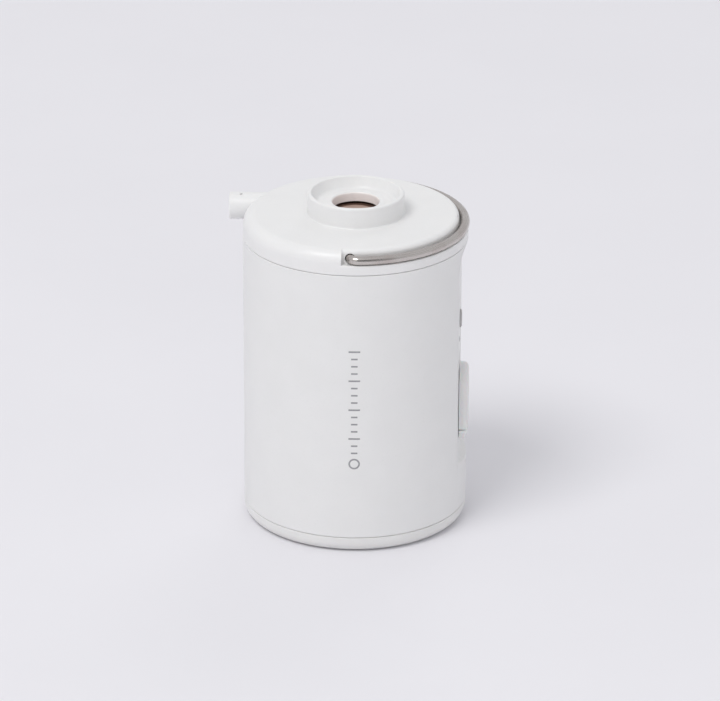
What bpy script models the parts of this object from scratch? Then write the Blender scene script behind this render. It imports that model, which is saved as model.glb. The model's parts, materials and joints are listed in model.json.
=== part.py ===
"""Rechargeable mini air pump with a base lamp and a wire bail, as an assembly of separate parts.

Frame: +Z up, origin on the body's axis at the resting face. The control panel faces +X, the outlet
nozzle points to -X, and the bail turns about an axis along Y.
All sizes below are in millimetres; MM turns them into metres.
"""

import math

import bmesh
import bpy
from mathutils import Matrix, Vector

MM = 0.001

# ---- Driving dimensions (mm) -------------------------------------------------------------------
GAP = 0.3                      # clearance between touching pieces
EDGE = 0.3                     # small chamfer on the casing's edges
PAST = 1.0                     # how far a cutter runs past the face that it opens

BODY_R = 28.5                  # outer radius of shell, lid and base
BODY_WALL = 1.8
BODY_BOTTOM = 4.3
BODY_TOP = 75.4
BODY_INNER_R = BODY_R - BODY_WALL

PANEL_X = 26.6                 # flat control panel on the +X side
PANEL_INNER_X = 23.6
PANEL_BOTTOM = 18.0
PANEL_TOP = 67.6               # above this the finger scoop runs out to the full radius
PANEL_HALF_Y = 13.0            # half width of the cut that leaves the flat
PANEL_LEDGE = 12.0             # the shell's inner flat starts here

LID_BOTTOM = 75.8
LID_TOP = 81.7
LID_FILLET = 3.2
LID_CEILING = 79.9
LID_RING_R = 23.2              # inner radius of the lid's thick ring
SPIGOT_R = 26.3
SPIGOT_BOTTOM = 73.9
COLLAR_R = 12.3
COLLAR_TOP = 87.1
SOCKET_R = 11.1                # recess that a hose or valve adapter pushes into
SOCKET_FLOOR = 84.4
BORE_R = 6.0
THROAT_R = 9.8
THROAT_TOP = 82.3

WIRE_R = 1.2
BAIL_R = 27.7                  # centre line of the wire's half circle
BAIL_Z = 79.4                  # pivot height
BAIL_BEND_R = 2.0
PIN_INNER_Y = 22.6
REBATE_R = 26.2
REBATE_FLOOR = 77.95
REBATE_END_X = -2.1
PIN_HOLE_R = 1.6
BAIL_SCOOP_R = 6.0             # hollow for lifting the wire with a fingertip
BAIL_SCOOP_X = 30.9

NOZZLE_R = 3.5
NOZZLE_BORE_R = 2.4
NOZZLE_TIP_X = -32.8
NOZZLE_ROOT_X = -24.5
NOZZLE_Y = 11.7
NOZZLE_Z = 78.2

BASE_TOP = 3.9
BASE_FOOT_R = 27.3
BASE_WALL = 1.6
BASE_SPIGOT_TOP = 6.2

BUTTON_Z = 53.3
BUTTON_R = 2.35
BUTTON_PROUD = 0.5
INDICATOR_Z = 47.6
INDICATOR_R = 0.9

COVER_WIDTH = 9.5
COVER_BOTTOM = 20.4
COVER_TOP = 41.0
COVER_FACE_X = 29.0
COVER_HINGE_X = 28.8
COVER_HINGE_Z = 24.2
COVER_ROOT_Z = 22.3            # peg that holds the cover in the panel
COVER_ROOT_R = 1.2
COVER_SCOOP_R = 8.6            # hollow in the panel for lifting the cover's tip
COVER_SCOOP_DEPTH = 1.6
PORT_Z = 31.0

BOARD_X = 17.5                 # back face of the control board
BOARD_THICK = 1.4

CELL_R = 9.25
CELL_Y = 9.9
CELL_X = -2.0
CELL_BOTTOM = 11.1
CELL_TOP = 45.9

CHASSIS_Z = 47.4
CHASSIS_THICK = 1.2
MOTOR_R = 12.0
MOTOR_WALL = 0.7
MOTOR_BOTTOM = 50.6
MOTOR_TOP = 70.0
SHAFT_R = 1.0

VOLUTE_FLOOR = 70.3
VOLUTE_FLOOR_TOP = 71.9
VOLUTE_R = 20.5
VOLUTE_WALL = 1.5
VOLUTE_TOP = 79.5
FLANGE_TOP = 73.5
IMPELLER_R = 18.5
IMPELLER_BOTTOM = 72.6
BLADE_TOP = 78.9
BLADES = 9

SCREW_HOLE_R = 1.1
SCREW_CIRCLE_R = 24.75
SCREW_ANGLES = (52.0, 122.0, 218.0, 308.0)
MOTOR_SCREW_CIRCLE_R = 7.4
MOTOR_SCREW_ANGLES = (24.0, 204.0)
LAMP_CHIPS = 4
ARMATURE_POLES = 5
GUARD_SPOKES = 8
GUARD_RING_R = 8.3
GUARD_PLATE_R = 6.4
GUARD_PLATE_TOP = 81.6
GUARD_THICK = 0.9

SHELL_SEGMENTS = 48            # sides of the large round pieces
SMALL_SEGMENTS = 24            # sides of the small round pieces
SMOOTH_ANGLE = math.radians(35)


# ---- Materials ---------------------------------------------------------------------------------
def make_material(name, rgb, roughness, metallic=0.0):
    """Return a Principled material with the given colour, roughness and metallic value."""
    material = bpy.data.materials.new(name)
    material.use_nodes = True
    shader = material.node_tree.nodes["Principled BSDF"]
    shader.inputs["Base Color"].default_value = (*rgb, 1.0)
    shader.inputs["Roughness"].default_value = roughness
    shader.inputs["Metallic"].default_value = metallic
    material.diffuse_color = (*rgb, 1.0)
    return material


def finishes():
    """Return the assembly's finishes by name."""
    return {
        "white_plastic": make_material("white_plastic", (0.80, 0.80, 0.80), 0.45),
        "milky_plastic": make_material("milky_plastic", (0.78, 0.78, 0.77), 0.35),
        "white_silicone": make_material("white_silicone", (0.76, 0.76, 0.76), 0.60),
        "grey_rubber": make_material("grey_rubber", (0.12, 0.11, 0.11), 0.65),
        "steel_wire": make_material("steel_wire", (0.55, 0.53, 0.50), 0.28, 1.0),
        "brown_plastic": make_material("brown_plastic", (0.16, 0.10, 0.08), 0.45),
        "black_plastic": make_material("black_plastic", (0.03, 0.03, 0.03), 0.50),
        "plated_steel": make_material("plated_steel", (0.62, 0.62, 0.63), 0.30, 1.0),
        "dark_magnet": make_material("dark_magnet", (0.09, 0.09, 0.10), 0.55),
        "brass": make_material("brass", (0.75, 0.55, 0.25), 0.30, 1.0),
        "copper": make_material("copper", (0.80, 0.42, 0.25), 0.35, 1.0),
        "board_green": make_material("board_green", (0.03, 0.18, 0.08), 0.45),
        "cell_wrap": make_material("cell_wrap", (0.10, 0.25, 0.55), 0.40),
        "clear_plastic": make_material("clear_plastic", (0.80, 0.85, 0.80), 0.15),
        "lamp_chip": make_material("lamp_chip", (0.90, 0.80, 0.35), 0.40),
        "red_sleeve": make_material("red_sleeve", (0.50, 0.03, 0.03), 0.50),
        "black_sleeve": make_material("black_sleeve", (0.02, 0.02, 0.02), 0.50),
    }


# ---- Modelling helpers -------------------------------------------------------------------------
def add_object(name, bm, material=None):
    """Make a smooth-shaded object from a bmesh whose coordinates are in millimetres."""
    bmesh.ops.recalc_face_normals(bm, faces=bm.faces)
    bmesh.ops.scale(bm, vec=(MM, MM, MM), verts=bm.verts)
    mesh = bpy.data.meshes.new(name)
    bm.to_mesh(mesh)
    bm.free()
    mesh.shade_smooth()
    mesh.set_sharp_from_angle(angle=SMOOTH_ANGLE)
    if material:
        mesh.materials.append(material)
    obj = bpy.data.objects.new(name, mesh)
    bpy.context.scene.collection.objects.link(obj)
    return obj


def set_origin(obj, point):
    """Move an object's origin to a point given in millimetres, leaving its shape in place."""
    offset = Vector(point) * MM
    obj.data.transform(Matrix.Translation(-offset))
    obj.location = offset


def ring_of(bm, radius, height, segments, phase):
    """Add one ring of vertices, or a single vertex on the axis."""
    if radius == 0.0:
        return [bm.verts.new((0.0, 0.0, height))]
    ring = []
    for i in range(segments):
        angle = math.radians(phase) + 2.0 * math.pi * i / segments
        ring.append(bm.verts.new((radius * math.cos(angle), radius * math.sin(angle), height)))
    return ring


def bridge(bm, lower, upper):
    """Fill the band between two rings; either may be a single vertex on the axis."""
    count = max(len(lower), len(upper))
    if len(lower) == len(upper) == 1:
        return
    for i in range(count):
        j = (i + 1) % count
        corners = []
        for vertex in (lower[i % len(lower)], lower[j % len(lower)],
                       upper[j % len(upper)], upper[i % len(upper)]):
            if vertex not in corners:
                corners.append(vertex)
        bm.faces.new(corners)


def turned_mesh(profile, segments, phase):
    """Return a bmesh turned about Z from a closed profile of (radius, height) points."""
    bm = bmesh.new()
    rings = [ring_of(bm, radius, height, segments, phase) for radius, height in profile]
    for i, ring in enumerate(rings):
        bridge(bm, ring, rings[(i + 1) % len(rings)])
    return bm


def turned(name, profile, material=None, segments=SMALL_SEGMENTS, at=(0.0, 0.0, 0.0), along="Z",
           phase=0.0):
    """Turn a closed profile about an axis through a point, along X, Y or Z.

    The phase, in degrees, keeps a cutter's corners off the edges of the piece that it cuts.
    """
    bm = turned_mesh(profile, segments, phase)
    if along == "X":
        bmesh.ops.rotate(bm, matrix=Matrix.Rotation(math.pi / 2, 3, "Y"), verts=bm.verts)
    if along == "Y":
        bmesh.ops.rotate(bm, matrix=Matrix.Rotation(-math.pi / 2, 3, "X"), verts=bm.verts)
    bmesh.ops.translate(bm, vec=at, verts=bm.verts)
    return add_object(name, bm, material)


def rod(radius, low, high):
    """Return the profile of a solid cylinder."""
    return [(0.0, high), (radius, high), (radius, low), (0.0, low)]


def sleeve(inner, outer, low, high):
    """Return the profile of a plain ring."""
    return [(inner, high), (outer, high), (outer, low), (inner, low)]


def stepped(steps, bore=0.0):
    """Return a profile from a list of (radius, low, high) steps, stacked from the top down."""
    points = [(bore, steps[0][2])]
    for radius, low, high in steps:
        points += [(radius, high), (radius, low)]
    points.append((bore, steps[-1][1]))
    return points


def arc(centre, radius, start, end, steps):
    """Return points on a circular arc, with angles in degrees."""
    points = []
    for i in range(steps + 1):
        angle = math.radians(start + (end - start) * i / steps)
        x = centre[0] + radius * math.cos(angle)
        y = centre[1] + radius * math.sin(angle)
        points.append((0.0 if abs(x) < 1e-9 else x, y))
    return points


def block(name, low, high, material=None):
    """Make a box between two corners."""
    bm = bmesh.new()
    bmesh.ops.create_cube(bm, size=1.0)
    size = [b - a for a, b in zip(low, high)]
    centre = [(a + b) / 2 for a, b in zip(low, high)]
    bmesh.ops.scale(bm, vec=size, verts=bm.verts)
    bmesh.ops.translate(bm, vec=centre, verts=bm.verts)
    return add_object(name, bm, material)


def extruded(name, outline, low, high, along="Z", material=None):
    """Extrude a closed outline between two positions along an axis.

    The outline's points are (x, y) along Z, (y, z) along X and (x, z) along Y.
    """
    place = {
        "Z": lambda u, v, w: (u, v, w),
        "X": lambda u, v, w: (w, u, v),
        "Y": lambda u, v, w: (u, w, v),
    }[along]
    bm = bmesh.new()
    near = [bm.verts.new(place(u, v, low)) for u, v in outline]
    far = [bm.verts.new(place(u, v, high)) for u, v in outline]
    bm.faces.new(near)
    bm.faces.new(far)
    bridge(bm, near, far)
    return add_object(name, bm, material)


def wire(name, points, radius, material, resolution=2):
    """Make a round wire along a list of points as one closed mesh."""
    curve = bpy.data.curves.new(name, "CURVE")
    curve.dimensions = "3D"
    curve.bevel_depth = radius * MM
    curve.bevel_resolution = resolution
    curve.use_fill_caps = True
    spline = curve.splines.new("POLY")
    spline.points.add(len(points) - 1)
    for spline_point, point in zip(spline.points, points):
        spline_point.co = (*(Vector(point) * MM), 1.0)
    spline.use_smooth = True
    curve.materials.append(material)
    obj = bpy.data.objects.new(name, curve)
    bpy.context.scene.collection.objects.link(obj)
    return obj


def joined(name, objects):
    """Join the meshes of several objects into one helper object."""
    bm = bmesh.new()
    for obj in objects:
        bm.from_mesh(obj.data)
        bpy.data.objects.remove(obj)
    bmesh.ops.scale(bm, vec=(1 / MM, 1 / MM, 1 / MM), verts=bm.verts)
    return add_object(name, bm)


def boolean(obj, operand, operation):
    """Cut or add an operand, which stays in the scene as a hidden helper."""
    modifier = obj.modifiers.new(operand.name, "BOOLEAN")
    modifier.operation = operation
    modifier.object = operand
    modifier.solver = "EXACT"
    operand.hide_render = True
    operand.display_type = "WIRE"


def cut(obj, *operands):
    """Cut each operand out of an object."""
    for operand in operands:
        boolean(obj, operand, "DIFFERENCE")


def fuse(obj, *operands):
    """Add each operand to an object."""
    for operand in operands:
        boolean(obj, operand, "UNION")


def polar(radius, degrees):
    """Return the (x, y) point at a radius and an angle."""
    return radius * math.cos(math.radians(degrees)), radius * math.sin(math.radians(degrees))


def stadium(width, low, high, steps=8):
    """Return a (y, z) outline with round ends, centred on y = 0."""
    radius = width / 2
    top = arc((0.0, high - radius), radius, 0.0, 180.0, steps)
    return top + arc((0.0, low + radius), radius, 180.0, 360.0, steps)


# ---- Casing ------------------------------------------------------------------------------------
def make_body_shell(f):
    """Tube with a flat panel, a finger scoop under the bail and the panel's holes."""
    shell = turned("body_shell", [
        (BODY_INNER_R, BODY_TOP), (BODY_R - EDGE, BODY_TOP), (BODY_R, BODY_TOP - EDGE),
        (BODY_R, BODY_BOTTOM + EDGE), (BODY_R - EDGE, BODY_BOTTOM), (BODY_INNER_R, BODY_BOTTOM),
    ], f["white_plastic"], SHELL_SEGMENTS)

    backing_r = BODY_R - 0.9
    half_angle = math.degrees(math.acos(PANEL_INNER_X / backing_r))
    backing = extruded("panel_backing", arc((0.0, 0.0), backing_r, -half_angle, half_angle, 10),
                       PANEL_LEDGE, BODY_TOP - 0.5)
    fuse(shell, backing)

    scoop_depth = BODY_R + 0.1 - PANEL_X
    scoop_height = BODY_TOP - PANEL_TOP
    run_out = []
    for step in range(7):
        angle = math.radians(15.0 * step)
        run_out.append((PANEL_X + scoop_depth * (1.0 - math.cos(angle)),
                        PANEL_TOP + scoop_height * math.sin(angle)))
    outside = BODY_R + 2.0
    outline = [(PANEL_X, PANEL_BOTTOM), (BODY_R + 0.5, PANEL_BOTTOM - 1.8), (outside, PANEL_BOTTOM)]
    outline += [(outside, BODY_TOP + PAST), (BODY_R + 0.1, BODY_TOP + PAST)]
    outline += run_out[::-1]
    panel = extruded("panel_cut", outline, -PANEL_HALF_Y, PANEL_HALF_Y, "Y")

    port = extruded("port_cut", stadium(5.0, PORT_Z - 5.2, PORT_Z + 5.2), 20.0, 30.0, "X")
    root = turned("cover_root_cut", rod(COVER_ROOT_R + GAP, 20.0, 30.0), None, 16,
                  (0.0, 0.0, COVER_ROOT_Z), "X")
    button = turned("button_cut", rod(BUTTON_R + GAP, 20.0, 30.0), along="X",
                    at=(0.0, 0.0, BUTTON_Z))
    indicator = turned("indicator_cut", rod(INDICATOR_R + GAP, 20.0, 30.0), None, 12,
                       (0.0, 0.0, INDICATOR_Z), "X")
    finger = turned("cover_finger_cut", arc((0.0, 0.0), COVER_SCOOP_R, 90.0, -90.0, 12), None, 24,
                    (PANEL_X - COVER_SCOOP_DEPTH + COVER_SCOOP_R, 0.0, COVER_TOP - 1.6))
    saddle = turned("nozzle_saddle_cut", rod(NOZZLE_R + 0.4, -31.0, -19.0), None, 32,
                    (0.0, NOZZLE_Y, NOZZLE_Z), "X")
    cut(shell, panel, port, root, button, indicator, finger, saddle)
    return shell


def make_lid(f):
    """Lid with its collar, hose socket, intake throat, bail rebate and outlet nozzle."""
    profile = [(BORE_R, THROAT_TOP)]
    profile += arc((BORE_R + 0.6, SOCKET_FLOOR - 0.6), 0.6, 180.0, 90.0, 2)
    profile += [(SOCKET_R - EDGE, SOCKET_FLOOR), (SOCKET_R, SOCKET_FLOOR + EDGE)]
    profile += [(SOCKET_R, COLLAR_TOP - 0.35), (SOCKET_R + 0.35, COLLAR_TOP)]
    profile += arc((COLLAR_R - 0.5, COLLAR_TOP - 0.5), 0.5, 90.0, 0.0, 2)
    profile += [(COLLAR_R, LID_TOP + 0.4), (COLLAR_R + 0.4, LID_TOP)]
    profile += arc((BODY_R - LID_FILLET, LID_TOP - LID_FILLET), LID_FILLET, 90.0, 0.0, 5)
    profile += [(BODY_R, LID_BOTTOM + EDGE), (BODY_R - EDGE, LID_BOTTOM), (SPIGOT_R, LID_BOTTOM)]
    profile += [(SPIGOT_R, SPIGOT_BOTTOM), (LID_RING_R, SPIGOT_BOTTOM), (LID_RING_R, LID_CEILING)]
    profile += [(THROAT_R, LID_CEILING), (THROAT_R, THROAT_TOP)]
    lid = turned("top_lid", profile, f["white_plastic"], SHELL_SEGMENTS)

    tube = turned("nozzle_tube", [
        (0.0, NOZZLE_ROOT_X), (NOZZLE_R, NOZZLE_ROOT_X), (NOZZLE_R, NOZZLE_TIP_X + EDGE),
        (NOZZLE_R - EDGE, NOZZLE_TIP_X), (0.0, NOZZLE_TIP_X),
    ], None, 32, (0.0, NOZZLE_Y, NOZZLE_Z), "X")
    fuse(lid, tube)

    outside = BODY_R + 2.5
    round_r = 1.6
    round_z = LID_TOP - round_r - 0.1
    rebate_profile = [(REBATE_R, REBATE_FLOOR), (REBATE_R, round_z)]
    rebate_profile += arc((REBATE_R - round_r, round_z), round_r, 25.0, 80.0, 3)
    rebate_profile += [(REBATE_R - round_r, LID_TOP + PAST), (outside, LID_TOP + PAST)]
    rebate_profile.append((outside, REBATE_FLOOR))
    rebate = turned("rebate_ring", rebate_profile, None, SHELL_SEGMENTS)
    stowed_side = block("rebate_side", (-40.0, -40.0, 60.0), (REBATE_END_X, 40.0, 100.0))
    cut(rebate, stowed_side)

    hole_end = PIN_INNER_Y - 0.6
    pins = turned("pin_hole_cut", rod(PIN_HOLE_R, -28.0, -hole_end), None, 20,
                  (0.0, 0.0, BAIL_Z), "Y", 5.0)
    far_pins = turned("far_pin_hole_cut", rod(PIN_HOLE_R, hole_end, 28.0), None, 20,
                      (0.0, 0.0, BAIL_Z), "Y", 5.0)
    outlet = turned("outlet_bore_cut", rod(NOZZLE_BORE_R, NOZZLE_TIP_X - PAST, -17.0), None, 24,
                    (0.0, NOZZLE_Y, NOZZLE_Z), "X", 4.0)
    panel_side = block("spigot_panel_cut", (PANEL_INNER_X - GAP, -20.0, SPIGOT_BOTTOM - PAST),
                       (30.0, 20.0, LID_BOTTOM))
    finger = turned("bail_finger_cut", rod(BAIL_SCOOP_R, REBATE_FLOOR + 0.15, LID_TOP + PAST),
                    None, 28, (BAIL_SCOOP_X, 0.0, 0.0), phase=6.4)
    cut(lid, rebate, pins, far_pins, outlet, panel_side, finger)
    for i, angle in enumerate(SCREW_ANGLES):
        pilot = turned(f"lid_pilot_cut_{i}", rod(SCREW_HOLE_R, SPIGOT_BOTTOM - PAST, 79.2), None, 12,
                       (*polar(SCREW_CIRCLE_R, angle), 0.0))
        cut(lid, pilot)

    nub = block("bail_nub", (REBATE_R - 2.2, -0.8, REBATE_FLOOR - 0.2),
                (BAIL_R - WIRE_R - GAP, 0.8, BAIL_Z + 0.9))
    fuse(lid, nub)
    return lid


def bail_path():
    """Return the wire's centre line: pin, bend, half circle, bend, pin."""
    bend_x = BAIL_BEND_R
    bend_y = math.sqrt((BAIL_R - BAIL_BEND_R) ** 2 - bend_x ** 2)
    reach = math.degrees(math.atan2(bend_y, bend_x))
    front = [(0.0, -PIN_INNER_Y), (0.0, -(PIN_INNER_Y + bend_y) / 2)]
    front += arc((bend_x, -bend_y), BAIL_BEND_R, 180.0, 360.0 - reach, 6)
    back = [(x, -y) for x, y in reversed(front)]
    half_circle = arc((0.0, 0.0), BAIL_R, -reach, reach, 32)[1:-1]
    return [(x, y, 0.0) for x, y in front + half_circle + back]


def make_bail(f):
    """Wire bail with its origin on the pivot axis."""
    bail = wire("bail_wire", bail_path(), WIRE_R, f["steel_wire"], resolution=2)
    bail.location = (0.0, 0.0, BAIL_Z * MM)
    return bail


# ---- Base lamp ---------------------------------------------------------------------------------
def make_base(f):
    """Diffuser that the pump stands on, its seal, and the lamp above it."""
    profile = [(0.0, BASE_WALL), (BODY_R - 3.2, BASE_WALL), (BODY_R - 2.6, BASE_TOP - 0.6)]
    profile += [(BODY_R - 3.5, BASE_SPIGOT_TOP), (BODY_R - 2.2, BASE_SPIGOT_TOP)]
    profile += [(BODY_R - 2.2, BASE_TOP), (BODY_R - 0.3, BASE_TOP), (BODY_R, BASE_TOP - 0.3)]
    profile += arc((BODY_R - 1.6, 1.6), 1.6, 0.0, -75.0, 4)
    profile += [(BASE_FOOT_R - 0.9, 0.0), (0.0, 0.0)]
    turned("lamp_diffuser", profile, f["milky_plastic"], SHELL_SEGMENTS)

    turned("base_seal", sleeve(24.9, 26.2, BASE_SPIGOT_TOP + GAP, 6.9), f["white_silicone"], 32)
    turned("base_bulkhead", stepped([(22.0, 8.4, 9.0), (26.3, 7.2, 8.4)], 3.0),
           f["white_plastic"], 32)
    turned("reflector", [(13.4, 6.1), (14.4, 6.1), (23.2, 2.9), (23.2, 2.2)],
           f["white_plastic"], 32)
    turned("lamp_board", rod(12.6, 5.3, 6.5), f["board_green"], 32)
    for i in range(LAMP_CHIPS):
        x, y = polar(7.5, 45.0 + 360.0 * i / LAMP_CHIPS)
        block(f"lamp_chip_{i}", (x - 1.4, y - 1.4, 4.2), (x + 1.4, y + 1.4, 5.0), f["lamp_chip"])


# ---- Battery and electronics -------------------------------------------------------------------
def make_battery(f):
    """Cradle with two cells and the nickel strips that join them."""
    outline = arc((6.7, 18.5), 2.0, 0.0, 90.0, 3) + arc((-10.7, 18.5), 2.0, 90.0, 180.0, 3)
    outline += arc((-10.7, -18.5), 2.0, 180.0, 270.0, 3) + arc((6.7, -18.5), 2.0, 270.0, 360.0, 3)
    cradle = extruded("battery_holder", outline, 9.3, 44.0, material=f["black_plastic"])
    for side in (-1, 1):
        bore = turned(f"cell_bore_cut_{side + 1}", rod(CELL_R + 0.35, 10.3, 50.0), None, 24,
                      (CELL_X, side * CELL_Y, 0.0))
        cut(cradle, bore)
    cut(cradle, block("cell_window_cut", (-20.0, -13.0, 15.0), (20.0, 13.0, 39.0)))
    for i, side in enumerate((-1, 1)):
        turned(f"battery_cell_{i}", [
            (0.0, CELL_TOP), (2.6, CELL_TOP), (2.6, CELL_TOP - 0.5), (CELL_R - 0.8, CELL_TOP - 0.5),
            (CELL_R, CELL_TOP - 1.3), (CELL_R, CELL_BOTTOM + 0.4), (CELL_R - 0.4, CELL_BOTTOM),
            (0.0, CELL_BOTTOM),
        ], f["cell_wrap"], 24, (CELL_X, side * CELL_Y, 0.0))
    strip_x = (CELL_X - 2.5, CELL_X + 2.5)
    block("nickel_strip_upper", (strip_x[0], -13.0, CELL_TOP + GAP),
          (strip_x[1], 13.0, CELL_TOP + GAP + 0.4), f["plated_steel"])


def make_electronics(f):
    """Control board with the charging socket, switch, indicator and driver chip."""
    front = BOARD_X + BOARD_THICK
    block("control_board", (BOARD_X, -9.0, 14.5), (front, 9.0, 60.0), f["board_green"])

    socket = extruded("charging_socket", stadium(3.2, PORT_Z - 4.5, PORT_Z + 4.5),
                      front + GAP, 26.0, "X", f["plated_steel"])
    cut(socket, extruded("socket_mouth_cut", stadium(2.4, PORT_Z - 4.1, PORT_Z + 4.1),
                         front + 1.2, 27.0, "X"))

    switch = block("switch_body", (front + GAP, -3.0, BUTTON_Z - 3.0),
                   (21.1, 3.0, BUTTON_Z + 3.0), f["black_plastic"])
    cut(switch, turned("switch_well_cut", rod(1.8, 19.9, 22.0), None, 16,
                       (0.0, 0.0, BUTTON_Z), "X"))
    plunger = turned("switch_plunger", rod(1.5, 20.8, 22.3), f["grey_rubber"], 16,
                     (0.0, 0.0, BUTTON_Z), "X")
    set_origin(plunger, (20.8, 0.0, BUTTON_Z))

    block("driver_chip", (front + GAP, -3.0, 38.5), (20.4, 3.0, 44.0), f["black_plastic"])
    block("indicator_led", (front + GAP, -0.8, INDICATOR_Z - 0.8),
          (19.9, 0.8, INDICATOR_Z + 0.8), f["lamp_chip"])
    turned("indicator_pipe", rod(INDICATOR_R, 20.2, PANEL_X + 0.1), f["clear_plastic"], 12,
           (0.0, 0.0, INDICATOR_Z), "X")

    button = turned("power_button", [
        (0.0, PANEL_X + BUTTON_PROUD), (BUTTON_R - 0.4, PANEL_X + BUTTON_PROUD),
        (BUTTON_R, PANEL_X + BUTTON_PROUD - 0.4), (BUTTON_R, 23.2), (3.1, 23.2), (3.1, 22.6),
        (0.0, 22.6),
    ], f["grey_rubber"], 24, (0.0, 0.0, BUTTON_Z), "X")
    set_origin(button, (PANEL_X, 0.0, BUTTON_Z))


def make_port_cover(f):
    """Soft cover over the charging socket: a fixed root and a flap on a living hinge."""
    back = PANEL_X + GAP
    lip = COVER_FACE_X - 1.1
    outline = stadium(COVER_WIDTH, COVER_BOTTOM, COVER_TOP, 10)
    anchor = extruded("cover_anchor", outline, back, COVER_FACE_X - 0.3, "X", f["white_silicone"])
    cut(anchor, block("anchor_split_cut", (20.0, -10.0, COVER_HINGE_Z - GAP), (32.0, 10.0, 50.0)))
    fuse(anchor, turned("anchor_root", rod(COVER_ROOT_R, 23.2, back + 0.5), None, 16,
                        (0.0, 0.0, COVER_ROOT_Z), "X"))

    flap = extruded("port_cover", outline, back, COVER_FACE_X, "X", f["white_silicone"])
    below = block("flap_split_cut", (20.0, -10.0, 10.0), (32.0, 10.0, COVER_HINGE_Z + GAP))
    cut(flap, below)
    for i, side in enumerate((-1, 1)):
        near, far = sorted((side * 2.6, side * 8.0))
        undercut = block(f"flap_undercut_{i}", (20.0, near, 33.0), (lip, far, 50.0))
        cut(flap, undercut)
    cut(flap, block("flap_tip_cut", (20.0, -8.0, 36.0), (lip, 8.0, 50.0)))
    tongue = extruded("flap_tongue", stadium(1.8, PORT_Z - 3.2, PORT_Z + 3.2), 24.6, back + 0.5, "X")
    fuse(flap, tongue)
    bpy.context.view_layer.update()
    set_origin(flap, (COVER_HINGE_X, 0.0, COVER_HINGE_Z))


# ---- Motor, fan and volute ---------------------------------------------------------------------
def make_motor(f):
    """Brushed motor hung under the volute floor, with its rotor on the body's axis."""
    can = turned("motor_can", [
        (3.2, MOTOR_TOP), (MOTOR_R - 0.6, MOTOR_TOP), (MOTOR_R, MOTOR_TOP - 0.6),
        (MOTOR_R, MOTOR_BOTTOM), (MOTOR_R - MOTOR_WALL, MOTOR_BOTTOM),
        (MOTOR_R - MOTOR_WALL, MOTOR_TOP - 1.0), (3.2, MOTOR_TOP - 1.0),
    ], f["plated_steel"], 32)
    for i, angle in enumerate(MOTOR_SCREW_ANGLES):
        cut(can, turned(f"motor_tap_cut_{i}", rod(SCREW_HOLE_R, 60.0, 75.0), None, 12,
                        (*polar(MOTOR_SCREW_CIRCLE_R, angle), 0.0)))
    turned("motor_end_cap", stepped([(10.9, 50.3, 51.6), (MOTOR_R, 48.9, 50.3)], 3.2),
           f["black_plastic"], 24)
    turned("upper_bush", sleeve(SHAFT_R + GAP, 2.9, 67.0, 71.4), f["brass"])
    turned("lower_bush", sleeve(SHAFT_R + GAP, 2.9, 48.9, 51.6), f["brass"])
    for i, side in enumerate((-1, 1)):
        middle = 90.0 * side
        outline = arc((0.0, 0.0), 11.0, middle - 55.0, middle + 55.0, 8)
        outline += arc((0.0, 0.0), 9.2, middle + 55.0, middle - 55.0, 8)
        extruded(f"motor_magnet_{i}", outline, 55.0, 67.0, material=f["dark_magnet"])
        block(f"motor_brush_{i}", (3.0 if side > 0 else -5.6, -1.0, 52.1),
              (5.6 if side > 0 else -3.0, 1.0, 53.6), f["brass"])
        x = side * 8.6
        block(f"motor_terminal_{i}", (x - 1.2, -10.4, 46.4), (x + 1.2, -10.0, 48.6), f["brass"])
    turned("motor_grommet", sleeve(MOTOR_R + GAP, 13.5, 52.0, 56.0), f["grey_rubber"], 24)

    turned("motor_shaft", rod(SHAFT_R, 48.2, 77.6), f["plated_steel"], 16)
    turned("commutator", sleeve(SHAFT_R + GAP, 2.6, 52.0, 54.6), f["copper"], 18)
    poles = []
    for i in range(ARMATURE_POLES):
        middle = 360.0 * i / ARMATURE_POLES
        poles += [polar(3.6, middle - 30.0), polar(6.6, middle - 18.0), polar(8.4, middle - 28.0)]
        poles += [polar(8.8, middle), polar(8.4, middle + 28.0), polar(6.6, middle + 18.0)]
    armature = extruded("armature", poles, 56.0, 66.0, material=f["copper"])
    cut(armature, turned("armature_bore_cut", rod(SHAFT_R + GAP, 50.0, 70.0), None, 16))


def make_impeller(f):
    """Centrifugal fan: back plate, hub and curved blades in one moulding."""
    fan = turned("impeller", [
        (SHAFT_R + GAP, 78.3), (2.6, 78.3), (3.2, 77.7), (3.6, 74.4), (5.0, 73.5),
        (IMPELLER_R, 73.5), (IMPELLER_R, IMPELLER_BOTTOM), (SHAFT_R + GAP, IMPELLER_BOTTOM),
    ], f["brown_plastic"], 30)
    sweep = 38.0
    blades = []
    for i in range(BLADES):
        start = 360.0 * i / BLADES
        leading = []
        trailing = []
        for step in range(5):
            share = step / 4
            radius = 6.2 + (IMPELLER_R - 0.2 - 6.2) * share
            angle = start - sweep * share
            half = math.degrees(0.45 / radius)
            leading.append(polar(radius, angle + half))
            trailing.append(polar(radius, angle - half))
        blades.append(extruded(f"blade_{i}", leading + trailing[::-1], 73.2, BLADE_TOP))
    fuse(fan, joined("blade_set", blades))


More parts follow.
